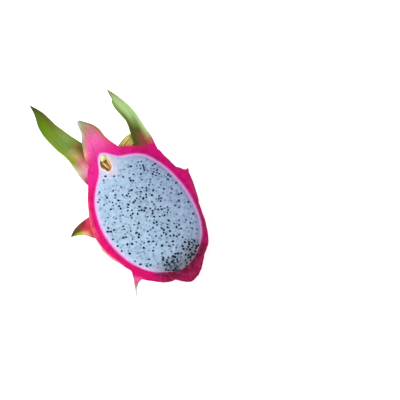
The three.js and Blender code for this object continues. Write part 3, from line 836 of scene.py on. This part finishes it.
def makeCutFaceMaterial():
    # freshly cut peel: wet, dense and saturated; its broken cells scatter light more than they mirror it
    look = cutLook
    material, add, place, along, across, fromFlesh, fromEdge, *parts = newMaterial(
        "cutPitayaPeel", "along", "across", "fromFlesh", "fromEdge", "cutScale", "rightLeaf", "spur",
        "leftSide", "lowerLeft", "flowerEnd", "toRight", "stalkEndShade", "rightRim")
    cutScale, rightLeaf, spur, leftSide, lowerLeft, flowerEnd, toRight, stalkEndShade, rightRim = parts
    clouds = add("TexNoise", (place, perMetre(look["cloud"]), 5.0))
    unevenly = strayed(add, fromFlesh, clouds, look["uneven"])
    outward = add("Math", (unevenly, 1 / look["depth"]), operation="MULTIPLY", use_clamp=True)
    outer, inner, rim, pastRing, pastFoot = (
        add("MapRange", (value, *look[ends]), interpolation_type="SMOOTHSTEP")
        for value, ends in ((outward, "outerPart"), (outward, "innerPart"), (fromEdge, "rimPart"),
                            (along, "pastRing"), (along, "pastFoot")))
    onOuter, onInner, rightRimShade, leftRimLight, onCutScale, onLeaf = (
        add("Math", pair, operation="MULTIPLY")
        for pair in ((outer, leftSide), (inner, flowerEnd), (rim, rightRim), (rim, lowerLeft),
                     (cutScale, pastRing), (rightLeaf, pastFoot)))
    colour = overlay(add, add("ValToRGB", [outward], look["ring"]), [
        (onOuter, look["outerMargin"]), (onInner, look["flowerEnd"])])
    patches = add("ValToRGB", [clouds], look["patches"])
    # painted shade multiplied in towards the right, then uneven patches
    colour = overlay(add, colour, [(toRight, look["rightShade"]), (1.0, patches)], "MULTIPLY")
    # painted shade on the right rim and at the stalk end, painted light on the rim at the lower left
    stalkShadeMottle = add("TexNoise", (place, perMetre(look["stalkShadeMottle"]), 5.0, 0.6))
    colour = overlay(add, colour, [
        (rightRimShade, look["rightRim"]), (leftRimLight, look["leftRim"]),
        (stalkEndShade, add("ValToRGB", [stalkShadeMottle], look["stalkEndShade"]))])
    frayed = strayed(add, across, clouds, look["fray"])
    tone = lengthwise(add, along, across, look["streaks"])[1]
    striped = overlay(add, lanes(add, along, frayed, look["cutScale"]), [(1.0, tone)], "MULTIPLY")
    # the right leaf's cut foot takes the lanes of its middle and lit side, painted light included
    colour = overlay(add, colour, [
        (onCutScale, striped), (spur, add("ValToRGB", [along], inScaleColours(look["spur"]))),
        (onLeaf, lanes(add, along, across, skinLook["rightLeaf"][-2:]))])
    fibres = add("TexNoise", (place, perMetre(look["fibre"]), 4.0))
    tone = add("ValToRGB", [fibres], look["fibreTones"])
    colour = overlay(add, colour, [(1.0, tone)], "MULTIPLY")
    return finishMaterial(material, colour, look["surface"], fibres, look["relief"])


rind = makeRind(makeSkinMaterial(), makeCutFaceMaterial())
print("rind done:", len(rind.data.polygons), "faces")


# core: the dried style in its pit

core = {
    # the pit's outline in the cut, anticlockwise
    "outline": [(-1.6, 59.2), (-4.4, 58.9), (-6.8, 56.2), (-8.8, 51.6), (-7.4, 48.0), (-5.8, 44.9),
                (-3.6, 45.0), (-1.7, 47.0), (-0.6, 52.1), (-0.3, 57.0)],
    "middle": (-4.7, 52.2), "depth": 3.4, "around": 96, "inset": 0.03, "bedDrop": 1.1,
    # how wide it is at shares of its depth, from the keel up, and how far down its upright mouth goes
    "narrowings": [(0.3, 1), (0.72, 0.7), (0.9, 0.45)], "mouth": 1.5,
}


def pitOutline(around):
    return smoothLoop(core["outline"], np.arange(around) / around)


def boat(name, share, top):
    # the pit, or what fills it
    outline, middle = pitOutline(core["around"]), np.array(core["middle"])
    levels = [(narrowing, down * core["depth"]) for narrowing, down in core["narrowings"]]
    rings = []
    for narrowing, down in [*levels, (1, core["mouth"]), (1, fruit["cutHeight"] - top)]:
        ring = middle + (outline - middle) * narrowing * share
        rings.append(np.column_stack([ring, np.full(len(ring), fruit["cutHeight"] - down)]))
    return tube(name, rings)


strands = {
    # bedShade darkens the bed of the pit: painted shade deep under the strands
    "sides": 12, "steps": 18, "sink": 0.75, "flatness": 0.8, "bedShade": 0.28,
    "swell": (0.08, 0.88, 0.6),      # the part of a sine wave that its thickness follows, and how fully
    # spine in the cut, thickness, rise above the bed and shade at its two ends, from dark 0 to cream 1; the
    # dark ends are partly painted shade, deep in the pit, between the strands and on its left
    "bundle": [
        ([(-1.2, 58.2), (-3.1, 57.0), (-6.1, 55.4)], 2.2, 0.5, (1.0, 1.0)),
        ([(-0.9, 57.4), (-1.3, 52.0), (-2.3, 46.8)], 1.05, 0.6, (0.92, 0.62)),
        ([(-5.8, 54.2), (-5.1, 50.9), (-4.3, 47.2)], 0.85, 0.7, (0.72, 0.82)),
        ([(-3.1, 54.4), (-3.5, 51.3), (-3.7, 47.2)], 0.9, 0.1, (0.18, 0.5)),
        ([(-7.2, 54.2), (-7.7, 51.1), (-6.1, 46.9)], 0.95, 0.2, (0.2, 0.36)),
        ([(-1.6, 49.8), (-3.0, 46.6), (-5.4, 45.5)], 0.85, 0.3, (0.6, 0.5))],
    "shades": [(0.0, "#523c0e"), (0.2, "#6b4a14"), (0.35, "#8b6120"), (0.5, "#a07444"), (0.65, "#b1845c"),
               (0.8, "#c7a571"), (0.9, "#d8bd88"), (1.0, "#c9c88e")],
    "fibre": 0.6,        # mm
    "uneven": 0.25,
    "relief": (0.4, 0.2),
    "surface": {"Roughness": 0.7, "IOR": 1.45, "Specular IOR Level": 0.2},
}


def makeStrandMaterial():
    # the dried style: fibrous, matt and brown, cream-green where it is still fresh, with painted shade deep
    # in the pit, between the strands and on its left
    material, add, place, shade = newMaterial("driedStyleFibre", "shade")
    fibre = add("TexNoise", (place, perMetre(strands["fibre"]), 4.0))
    uneven = strayed(add, shade, fibre, strands["uneven"])
    colour = add("ValToRGB", [uneven], strands["shades"])
    return finishMaterial(material, colour, strands["surface"], fibre, strands["relief"])


def makeStrand(spine, thick, rise, shades):
    # thin at both ends, and arched a little out of the bed
    sides, steps = strands["sides"], strands["steps"]
    s = np.linspace(0, 1, steps)
    middle, run = curveAt(spine, s)
    aside = np.column_stack([-run[:, 1], run[:, 0]])
    first, part, fullness = strands["swell"]
    r = (thick * np.sin(math.pi * (first + part * s)) ** fullness)[:, None]
    turn = np.arange(sides) * 2 * math.pi / sides
    flat = middle[:, None] + aside[:, None] * (r * np.cos(turn))[..., None]
    arch = fruit["cutHeight"] - strands["sink"] + (rise * np.sin(math.pi * s))[:, None]
    height = arch + strands["flatness"] * r * np.sin(turn)
    strand = tube("strand", np.dstack([flat, height]))
    storeValues(strand, shade=np.repeat(shades[0] + (shades[1] - shades[0]) * s, sides))
    return strand


def makeCore():
    bed = boat("core", 1 - core["inset"], fruit["cutHeight"] - core["bedDrop"])
    storeValues(bed, shade=np.full(len(bed.data.vertices), strands["bedShade"]))
    joinInto(bed, [makeStrand(*strand) for strand in strands["bundle"]])
    bed.data.shade_smooth()
    bed.data.materials.append(makeStrandMaterial())
    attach(bed, "root")
    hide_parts("core")


makeCore()
print("core done")


# flesh and seeds

seeds = {
    "count": 236,
    "length": 1.9,
    "width": 1.34,
    "height": 1.0,
    "around": 10, "steps": 7,
    "taper": 0.28,       # blunt at one end, pointed at the other
    "swell": (0.03, 0.94),       # the part of a sine wave that its girth follows
    "sizes": (0.8, 1.22),
    "tilt": 0.35,
    "rise": 0.2,         # how far their middles stand above the pulp, and how far the deepest sit below that
    "sink": 0.5,
    "sinking": (0.4, 2.2),      # how unevenly: more of them stay up where they lie thick
    "field": (80, 110),
    "spacing": 1.6,
    "elbowRoom": 2.15,   # those that lie nearer than this are eased apart
    "easings": 2,
    "border": 2.6,
    "freeNeck": 43.0,
    "draw": 20,
    # where they lie thick: place, reach and weight
    "clusters": [(0, 8, 15, 0.5), (4, -22, 15, 0.5), (9, -43, 11, 1.1), (24, 24, 12, 0.4)],
    "elsewhere": 0.32,
    # small clumps: the turns of a wave in radians per mm, how far it slants each way, and its strength
    "clump": 0.75, "clumpSlant": (0.2, 0.15), "clumping": 0.7,
    "crowd": {"count": 46, "draw": 5, "angles": (254, 296), "border": 1.1, "reach": 11,
              "pressing": 1.5, "spacing": 1.35},
    # seeds just under the surface, seen as grey spots: how many, their radius, and how strongly they show
    "buried": 300, "spot": 0.75, "spotStrength": (0.3, 0.9),
    "coat": [(0.0, "#000c24"), (0.5, "#08213c"), (1.0, "#506a80")],
    "dimple": 0.5,       # mm; the coat's own pits are finer, drawn this coarse so that they show
    "relief": (0.2, 0.1),
    "surface": {"Roughness": 0.3, "IOR": 1.45, "Specular IOR Level": 0.1},
}


def makeSeedMaterial():
    # the hard seed coat: near black, smooth and wet, greyed where pulp still covers it
    material, add, place, shade = newMaterial("blackSeedCoat", "shade")
    colour = add("ValToRGB", [shade], seeds["coat"])
    dimples = add("TexNoise", (place, perMetre(seeds["dimple"]), 2.0))
    return finishMaterial(material, colour, seeds["surface"], dimples, seeds["relief"])


def drawsFrom(seed):
    # evenly spread draws from 0 to 1, the same as in the solids
    state = seed
    while True:
        state = (state * 1664525 + 1013904223) % 4294967296
        yield state / 4294967296


def seedDensity(x, y):
    return seeds["elsewhere"] + sum(
        w * math.exp(-((x - cx) ** 2 + (y - cy) ** 2) / reach ** 2) for cx, cy, reach, w in seeds["clusters"])


def isClear(places, x, y, spacing):
    return all(math.hypot(p[0] - x, p[1] - y) > spacing for p in places)


def seedPlaces(count):
    # the same rule and draws as in the solids
    draw = drawsFrom(seeds["draw"])
    (wide, long), (slantX, slantY), turns = seeds["field"], seeds["clumpSlant"], seeds["clump"]
    places = []
    while len(places) < count:
        x, y = (next(draw) - 0.5) * wide, (next(draw) - 0.5) * long
        chance, turn = next(draw), next(draw) * math.pi
        room = float(fleshRadius(math.degrees(math.atan2(y, x)))) - math.hypot(x, y)
        clump = 1 + seeds["clumping"] * math.sin(turns * x + slantX * y) * math.sin(turns * y - slantY * x)
        if room > seeds["border"] and y < seeds["freeNeck"] and chance < seedDensity(x, y) * clump:
            if isClear(places, x, y, seeds["spacing"]):
                places.append((x, y, turn))
    return places


def easedApart(places):
    # of two that lie too near, each gives way by half of what they lack
    spots = np.array(places)
    for _ in range(seeds["easings"]):
        away = spots[:, None, :2] - spots[None, :, :2]
        gap = np.hypot(away[..., 0], away[..., 1])
        lack = np.where(gap > 0, np.maximum(seeds["elbowRoom"] - gap, 0) / np.maximum(gap, 0.1), 0)
        spots[:, :2] += 0.5 * (away * lack[..., None]).sum(1)
    return [tuple(s) for s in spots]


def crowdPlaces(taken):
    # more of them pressed together against the rind at the stalk end
    crowd, draw, places = seeds["crowd"], drawsFrom(seeds["crowd"]["draw"]), list(taken)
    while len(places) < len(taken) + crowd["count"]:
        angle = crowd["angles"][0] + next(draw) * (crowd["angles"][1] - crowd["angles"][0])
        r = float(fleshRadius(angle)) - crowd["border"] - crowd["reach"] * next(draw) ** crowd["pressing"]
        x, y = r * math.cos(math.radians(angle)), r * math.sin(math.radians(angle))
        if isClear(places, x, y, crowd["spacing"]):
            places.append((x, y, next(draw) * math.pi))
    return places


def fleshTop(x, y):
    share = math.hypot(x, y) / float(fleshRadius(math.degrees(math.atan2(y, x))))
    return float(cutHeight(y)) + fruit["fleshDome"] * (1 - share * share)


fleshLook = {
    "pulp": [(0.28, "#869fb8"), (0.42, "#98b0c6"), (0.58, "#a4b9cd"), (0.74, "#b2c5d7")],
    "cloud": 4.5,        # mm, slow change between paler and deeper pulp
    "grain": 1.2,        # mm, the pulp's granules
    "grainTones": [(0.1, "#ffffff"), (0.5, "#ecf0f4"), (0.9, "#ccd6e0")],
    "wander": 5.0,       # mm across the waves in which the zones stray, and how far in mm
    "zoneStray": 1.4,
    "neckStray": 9.0,
    # inward from the peel: a lilac-white zone, and its pink edge; widths in mm
    "zone": [(0.2, "#bcbcda"), (0.55, "#aebad6"), (1.0, "#a4b8d0")], "zoneWidth": 5.5, "zonePart": (1.0, 0.3),
    "edge": [(0.0, "#e690ca"), (0.35, "#dca0d0"), (0.7, "#c8aed4"), (1.0, "#bcb4d4")], "edgeWidth": 2.0,
    "edgePart": (1.1, 0.5),
    "neck": "#c0bccc", "neckPart": (10.0, 2.0),
    "pitEdge": "#e0cccc", "pitPart": (1.8, 0.4),
    # painted shade, multiplied in towards the right of the fruit, which gets less light
    "rightShade": "#dcd8e0",
    "rightZoneShade": "#d4c6d4",      # and painted shade once more in the zone beside the peel there
    # painted shade on the pulp near the stalk end, where the cut turns down away from the light
    "stalkEndShade": "#6a6668",
    "deepSeed": "#2c3c50",
    "relief": (0.35, 0.3),
    "surface": {"Roughness": 0.35, "IOR": 1.36, "Specular IOR Level": 0.25, "Subsurface Weight": 0.15,
                "Subsurface Radius": (0.8, 0.9, 1.0), "Subsurface Scale": 0.001},
}


def makeFleshMaterial():
    # wet white pulp: light goes a few millimetres in, so it is soft and faintly blue in cool light
    look = fleshLook
    material, add, place, fromRind, fromCore, toRight, stalkPulpShade, deepSeed = newMaterial(
        "whitePitayaPulp", "fromRind", "fromCore", "toRight", "stalkPulpShade", "deepSeed")
    clouds = add("TexNoise", (place, perMetre(look["cloud"]), 6.0, 0.7))
    wander = add("TexNoise", (place, perMetre(look["wander"]), 4.0))
    uneven = strayed(add, fromRind, wander, look["zoneStray"])
    unevenCore = strayed(add, fromCore, wander, look["neckStray"])
    inZone = add("Math", (uneven, look["zoneWidth"]), operation="DIVIDE")
    inEdge = add("Math", (fromRind, look["edgeWidth"]), operation="DIVIDE")
    zone, neck, pitEdge, edge = (
        add("MapRange", (value, *look[ends]), interpolation_type="SMOOTHSTEP")
        for value, ends in ((inZone, "zonePart"), (unevenCore, "neckPart"), (fromCore, "pitPart"),
                            (inEdge, "edgePart")))
    colour = overlay(add, add("ValToRGB", [clouds], look["pulp"]), [
        (zone, add("ValToRGB", [inZone], look["zone"])),
        (neck, look["neck"]), (pitEdge, look["pitEdge"])])
    # painted shade: towards the right, more so beside the peel, and on the pulp at the stalk end
    rightZoneShade = add("Math", (zone, toRight), operation="MULTIPLY")
    colour = overlay(add, colour, [(rightZoneShade, look["rightZoneShade"])], "MULTIPLY")
    colour = overlay(add, colour, [(edge, add("ValToRGB", [inEdge], look["edge"]))])
    colour = overlay(add, colour, [(toRight, look["rightShade"])], "MULTIPLY")
    colour = overlay(add, colour, [(stalkPulpShade, look["stalkEndShade"]), (deepSeed, look["deepSeed"])])
    grain = add("TexVoronoi", (place, perMetre(look["grain"])), feature="SMOOTH_F1")
    tone = add("ValToRGB", [grain], look["grainTones"])
    colour = overlay(add, colour, [(1.0, tone)], "MULTIPLY")
    return finishMaterial(material, colour, look["surface"], grain, look["relief"], invert=True)


flesh = {"around": 360, "underRings": 14, "rings": 88, "innermost": 0.004,
         "granules": 0.07, "granuleSize": 1.5, "granulesDown": 0.5,
         "spotsAbove": 38}


def makeFlesh():
    angles = np.arange(flesh["around"]) * 360 / flesh["around"]
    rings = bowlRings(fleshRadius, fruit["fleshDepth"], fruit["hollowFloor"], flesh["underRings"], angles)
    rings.pop()
    rim = polar(fleshRadius(angles), angles, fruit["cutHeight"])
    rim[:, :2] *= shareAt(cutHeight(rim[:, 1]), fruit["fleshDepth"])[:, None]
    for share in np.linspace(1, flesh["innermost"], flesh["rings"]):
        top = rim * (share, share, 1)
        top[:, 2] = cutHeight(top[:, 1]) + fruit["fleshDome"] * (1 - share * share)
        rings.append(top)
    points = np.vstack(rings)
    upper = points[:, 2] > fruit["cutHeight"] - fruit["dipDrop"] - flesh["granulesDown"]
    points[upper, 2] += flesh["granules"] * noiseAt(points[upper], flesh["granuleSize"])
    obj = meshObject("flesh", points, tubeFaces(len(rings), flesh["around"]))
    obj.data.materials.append(makeFleshMaterial())
    combine(obj, boat("pit", 1, fruit["cutHeight"] + fruit["cutRoom"]), "DIFFERENCE")
    obj.data.shade_smooth()
    points = pointsOf(obj)
    fromRim, pitEdge = -outOfFlesh(points), pitOutline(4 * core["around"])
    markRegions(obj, points, fromRim)
    spots = seedPlaces(seeds["count"] + seeds["buried"])[seeds["count"]:]
    strength = rng.uniform(*seeds["spotStrength"], len(spots))
    nearest, off = nearestOf([(x, y, 0) for x, y, _ in spots], points * (1, 1, 0))
    shown = strength[nearest] * np.exp(-(off / seeds["spot"]) ** 2)
    storeValues(obj, fromRind=fromRim, fromCore=[np.hypot(*(pitEdge - p[:2]).T).min() for p in points],
                deepSeed=shown * (points[:, 2] > flesh["spotsAbove"]))
    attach(obj, "root")
    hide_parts("flesh")


def makeSeeds():
    around, steps = seeds["around"], seeds["steps"]
    (rarer, denser), swell = seeds["sinking"], seeds["swell"]
    points, faces, shades = [], [], []
    for i, (x, y, turn) in enumerate(crowdPlaces(easedApart(seedPlaces(seeds["count"])))):
        size = rng.uniform(*seeds["sizes"])
        sunk = rng.uniform(0, 1) ** (rarer + denser * seedDensity(x, y))
        z = fleshTop(x, y) + seeds["rise"] - seeds["sink"] * sunk
        shades += [sunk] * (around * steps)
        tilt = rng.uniform(-seeds["tilt"], seeds["tilt"])
        for k in range(steps):
            s = k / (steps - 1)
            along = -math.cos(math.pi * s)
            girth = math.sin(math.pi * (swell[0] + swell[1] * s)) * (1 - seeds["taper"] * along)
            for a in np.arange(around) * 2 * math.pi / around:
                lx, ly = seeds["length"] / 2 * along, seeds["width"] / 2 * girth * math.cos(a)
                lz = seeds["height"] / 2 * girth * math.sin(a) + lx * tilt
                points.append((x + size * (lx * math.cos(turn) - ly * math.sin(turn)),
                               y + size * (lx * math.sin(turn) + ly * math.cos(turn)), z + size * lz))
        first = i * around * steps
        faces += [tuple(first + v for v in face) for face in tubeFaces(steps, around)]
    obj = meshObject("seeds", points, faces)
    storeValues(obj, shade=shades)
    obj.data.materials.append(makeSeedMaterial())
    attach(obj, "root")
    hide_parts("flesh")


makeFlesh()
makeSeeds()
print("flesh and seeds done")


# withered flower

flower = {
    "angle": 75, "z": 32, "facing": (-0.17, -0.25, 0.95),
    # which way the stub leans, and its share next to straight out of the skin
    "lean": (-0.1, 1, 0.15), "leaning": 0.5,
    "stub": {"radius": 4.6, "sides": 36, "ribs": 6, "ribDepth": 0.05,
             "profile": [(-2.6, 0.96), (0, 1.0), (2.2, 0.95), (3.2, 0.7), (3.0, 0.3)]},
    # a petal's width, how far it cups, and its spine from the stub, bent over to the right
    "petals": [
        (4.6, 0.5, [(14.0, 55.0, 31.5), (12.6, 61.0, 33.2), (16.2, 63.0, 34.8), (22.8, 65.2, 35.4),
                    (29.0, 67.4, 33.5)]),
        (4.6, 0.6, [(14.3, 54.5, 33.0), (14.6, 58.6, 35.2), (18.0, 61.4, 36.6), (22.8, 63.2, 36.0),
                    (28.6, 63.6, 31.4)]),
        (4.2, 0.6, [(14.5, 54.0, 34.0), (16.4, 57.2, 37.2), (20.0, 59.6, 38.0), (24.0, 60.8, 36.0),
                    (28.6, 61.0, 31.0)]),
        (4.0, 0.5, [(15.0, 53.5, 34.5), (18.4, 55.8, 38.2), (22.0, 57.6, 38.4), (25.4, 58.6, 36.0),
                    (29.4, 59.0, 31.0)]),
        (6.4, 0.4, [(14.0, 54.0, 30.0), (15.8, 58.6, 29.0), (20.0, 61.4, 29.6), (24.6, 63.8, 30.6),
                    (28.0, 66.6, 32.0)]),
        (7.0, 0.4, [(16.0, 53.0, 28.5), (19.6, 57.0, 26.6), (24.0, 59.6, 27.0), (28.0, 61.4, 28.4),
                    (31.0, 63.4, 30.0)])],
    "widths": (0.8, 1, 1, 0.9, 0.4), "thicknesses": [1.4, 0.9, 0.8, 0.8, 0.7], "steps": 40, "across": 22,
    "crumple": 0.45, "crumpleSize": 2.6,
    "crumpleShift": 9, "veinShift": 7,       # so that no two petals are crumpled or veined alike
    # folded veins 0.5 to 0.9 mm apart, and how much they are drawn out along a petal
    "veins": {"scale": 4.0, "stretch": 0.3,
              "tones": [(0.34, "#6c5c18"), (0.42, "#98882c"), (0.54, "#cac664"), (0.68, "#ece898")]},
    "root": "#b0603a", "rootPart": (0.62, 0.3),
    "edge": "#5c4a1c", "edgePart": (0.62, 0.9),
    "spot": "#6c4420", "spotPart": (0.58, 0.66), "blotch": 3.0,
    "relief": (0.6, 0.4),
    "surface": {"Roughness": 0.65, "IOR": 1.45, "Specular IOR Level": 0.2},
}


def makePetalMaterial():
    # a withered petal: papery yellow with folded veins, orange towards its root and brown at its edges
    material, add, place, along, across, fold = newMaterial("witheredPetal", "along", "across", "fold")
    streaks, tone = lengthwise(add, along, fold, flower["veins"])
    blotches = add("TexNoise", (place, perMetre(flower["blotch"]), 5.0))
    offMiddle = add("Math", [across], operation="ABSOLUTE")
    root, edge, spots = (
        (add("MapRange", (value, *flower[ends]), interpolation_type="SMOOTHSTEP"), flower[paint])
        for value, ends, paint in ((along, "rootPart", "root"), (offMiddle, "edgePart", "edge"),
                                   (blotches, "spotPart", "spot")))
    colour = overlay(add, tone, [root, edge, spots])
    return finishMaterial(material, colour, flower["surface"], streaks, flower["relief"])


def makeFlower():
    # the dried flower that the fruit keeps: a short stub and papery petals wilted over to one side
    place, outward, _ = skinAt(flower["angle"], flower["z"])
    axis = outward.lerp(Vector(flower["lean"]), flower["leaning"]).normalized()
    up = Vector((0, 0, 1))
    up = (up - axis * up.dot(axis)).normalized()
    obj = ribbedStub("witheredFlower", place, (axis, up, axis.cross(up)), flower["stub"])
    plain = np.zeros(len(obj.data.vertices))
    storeValues(obj, along=plain, across=plain)
    petals = []
    for i, (width, cup, spine) in enumerate(flower["petals"]):
        widths = [share * width for share in flower["widths"]]
        blade = {"spine": spine, "inner": flower["facing"], "widths": widths,
                 "thicknesses": flower["thicknesses"], "gutter": -cup}
        rings, _, places = bladePoints(blade, flower["steps"], flower["across"])
        along, across = (np.concatenate([p, p[:, -2:0:-1]], axis=1).ravel() for p in places)
        points = rings.reshape(-1, 3)
        points[:, 2] += flower["crumple"] * noiseAt(points, flower["crumpleSize"], flower["crumpleShift"] * i)
        petal = tube("petal", points.reshape(rings.shape))
        storeValues(petal, along=along, across=across, fold=across + flower["veinShift"] * i)
        petals.append(petal)
    joinInto(obj, petals)
    obj.data.shade_smooth()
    obj.data.materials.append(makePetalMaterial())
    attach(obj, "root")
    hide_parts("withered_flower")


makeFlower()
print("flower done")


# floor and light

studio = {
    "paper": [(0.3, "#fafafa"), (0.7, "#ffffff")],
    "tooth": 2.0,        # mm; real paper's grain is finer, drawn this coarse so that it shows
    "halfSize": 3000.0,
    "drop": 0.05,        # how far the sheet lies under the fruit
    "glow": 0.32,
    "sky": 1.0,
    # a soft round light: its power in watts, its width, and where it comes from
    "key": 2.2, "keySize": 450.0, "keyDistance": 500.0, "keyFrom": (-0.6, 0.55, 0.8), "keyAim": (0, 20, 46),
}


def makeStage():
    # matt white sheet over a light table, which lifts the shadows a little
    corners = np.array([(-1, -1, 0), (1, -1, 0), (1, 1, 0), (-1, 1, 0)]) * studio["halfSize"]
    floor = meshObject("floor", corners - (0, 0, studio["drop"]), [(0, 1, 2, 3)])
    material, add, place = newMaterial("mattPaper")
    tooth = add("TexNoise", (place, perMetre(studio["tooth"])))
    finishMaterial(material, add("ValToRGB", [tooth], studio["paper"]), {
        "Roughness": 0.95, "Specular IOR Level": 0.0,
        "Emission Color": "#ffffff", "Emission Strength": studio["glow"]})
    floor.data.materials.append(material)
    world = bpy.data.worlds.new("studio")
    world.use_nodes = True
    world.node_tree.nodes["Background"].inputs["Color"].default_value = (1, 1, 1, 1)
    world.node_tree.nodes["Background"].inputs["Strength"].default_value = studio["sky"]
    scene.world = world
    data = bpy.data.lights.new("key", "AREA")
    data.shape = "DISK"
    data.size = studio["keySize"] * metres
    data.energy = studio["key"]
    back = Vector(studio["keyFrom"]).normalized()
    aimedObject(data, Vector(studio["keyAim"]) * metres + back * (studio["keyDistance"] * metres), back)
    scene.view_settings.view_transform = "Standard"


makeStage()
print("stage done")
